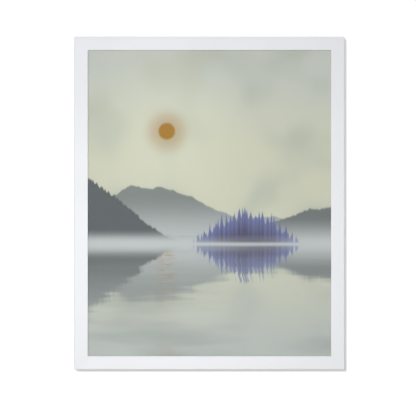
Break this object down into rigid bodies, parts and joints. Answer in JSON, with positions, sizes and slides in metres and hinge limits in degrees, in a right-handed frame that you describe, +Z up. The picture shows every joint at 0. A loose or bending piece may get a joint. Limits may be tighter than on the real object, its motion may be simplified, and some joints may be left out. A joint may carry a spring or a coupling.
{
  "type": "framed print",
  "caption": "Upright rectangular print behind glass in a plain white mitred frame, with turn-button backing and a sawtooth hanger.",
  "frame": {"origin": "on the wall plane, at the top of the sawtooth hanger's middle notch, where a nail in the wall carries the frame", "axes": "+Z up, -Y out of the picture towards the viewer, +X to the viewer's right; the wall is the plane y = 0"},
  "size_m": [0.4378, 0.0235, 0.5394],
  "materials": {
    "white_painted_wood": "satin white paint",
    "picture_glass": "clear float glass",
    "printed_paper": "matte print",
    "foam_board": "matte white",
    "hardboard": "raw hardboard, smooth side out",
    "zinc_plated_steel": "bright zinc plate",
    "grey_felt": "grey felt"
  },
  "bodies": {
    "frame": {"frame_rail_top": "white_painted_wood", "frame_rail_right": "white_painted_wood", "frame_rail_bottom": "white_painted_wood", "frame_rail_left": "white_painted_wood", "glass_pane": "picture_glass", "print_sheet": "printed_paper", "filler_board": "foam_board", "backing_board": "hardboard", "sawtooth_hanger": "zinc_plated_steel", "hanger_screw_left": "zinc_plated_steel", "hanger_screw_right": "zinc_plated_steel", "button_screw_top_a": "zinc_plated_steel", "button_screw_top_b": "zinc_plated_steel", "button_screw_right_a": "zinc_plated_steel", "button_screw_right_b": "zinc_plated_steel", "button_screw_bottom_a": "zinc_plated_steel", "button_screw_bottom_b": "zinc_plated_steel", "button_screw_left_a": "zinc_plated_steel", "button_screw_left_b": "zinc_plated_steel", "v_nail_top_left_outer": "zinc_plated_steel", "v_nail_top_left_inner": "zinc_plated_steel", "v_nail_top_right_outer": "zinc_plated_steel", "v_nail_top_right_inner": "zinc_plated_steel", "v_nail_bottom_left_outer": "zinc_plated_steel", "v_nail_bottom_left_inner": "zinc_plated_steel", "v_nail_bottom_right_outer": "zinc_plated_steel", "v_nail_bottom_right_inner": "zinc_plated_steel", "felt_pad_left": "grey_felt", "felt_pad_right": "grey_felt"},
    "button_top_a": {"turn_button_top_a": "zinc_plated_steel"},
    "button_top_b": {"turn_button_top_b": "zinc_plated_steel"},
    "button_right_a": {"turn_button_right_a": "zinc_plated_steel"},
    "button_right_b": {"turn_button_right_b": "zinc_plated_steel"},
    "button_bottom_a": {"turn_button_bottom_a": "zinc_plated_steel"},
    "button_bottom_b": {"turn_button_bottom_b": "zinc_plated_steel"},
    "button_left_a": {"turn_button_left_a": "zinc_plated_steel"},
    "button_left_b": {"turn_button_left_b": "zinc_plated_steel"}
  },
  "joints": [
    {"name": "swivel_top_a", "type": "hinge", "parent": "frame", "child": "button_top_a", "pos_m": [-0.11, -0.0027, 0.0027], "axis": [0, 1, 0], "continuous": true},
    {"name": "swivel_top_b", "type": "hinge", "parent": "frame", "child": "button_top_b", "pos_m": [0.11, -0.0027, 0.0027], "axis": [0, 1, 0], "continuous": true},
    {"name": "swivel_right_a", "type": "hinge", "parent": "frame", "child": "button_right_a", "pos_m": [0.2114, -0.0027, -0.1095], "axis": [0, 1, 0], "continuous": true},
    {"name": "swivel_right_b", "type": "hinge", "parent": "frame", "child": "button_right_b", "pos_m": [0.2114, -0.0027, -0.4095], "axis": [0, 1, 0], "continuous": true},
    {"name": "swivel_bottom_a", "type": "hinge", "parent": "frame", "child": "button_bottom_a", "pos_m": [0.11, -0.0027, -0.5217], "axis": [0, 1, 0], "continuous": true},
    {"name": "swivel_bottom_b", "type": "hinge", "parent": "frame", "child": "button_bottom_b", "pos_m": [-0.11, -0.0027, -0.5217], "axis": [0, 1, 0], "continuous": true},
    {"name": "swivel_left_a", "type": "hinge", "parent": "frame", "child": "button_left_a", "pos_m": [-0.2114, -0.0027, -0.4095], "axis": [0, 1, 0], "continuous": true},
    {"name": "swivel_left_b", "type": "hinge", "parent": "frame", "child": "button_left_b", "pos_m": [-0.2114, -0.0027, -0.1095], "axis": [0, 1, 0], "continuous": true}
  ]
}
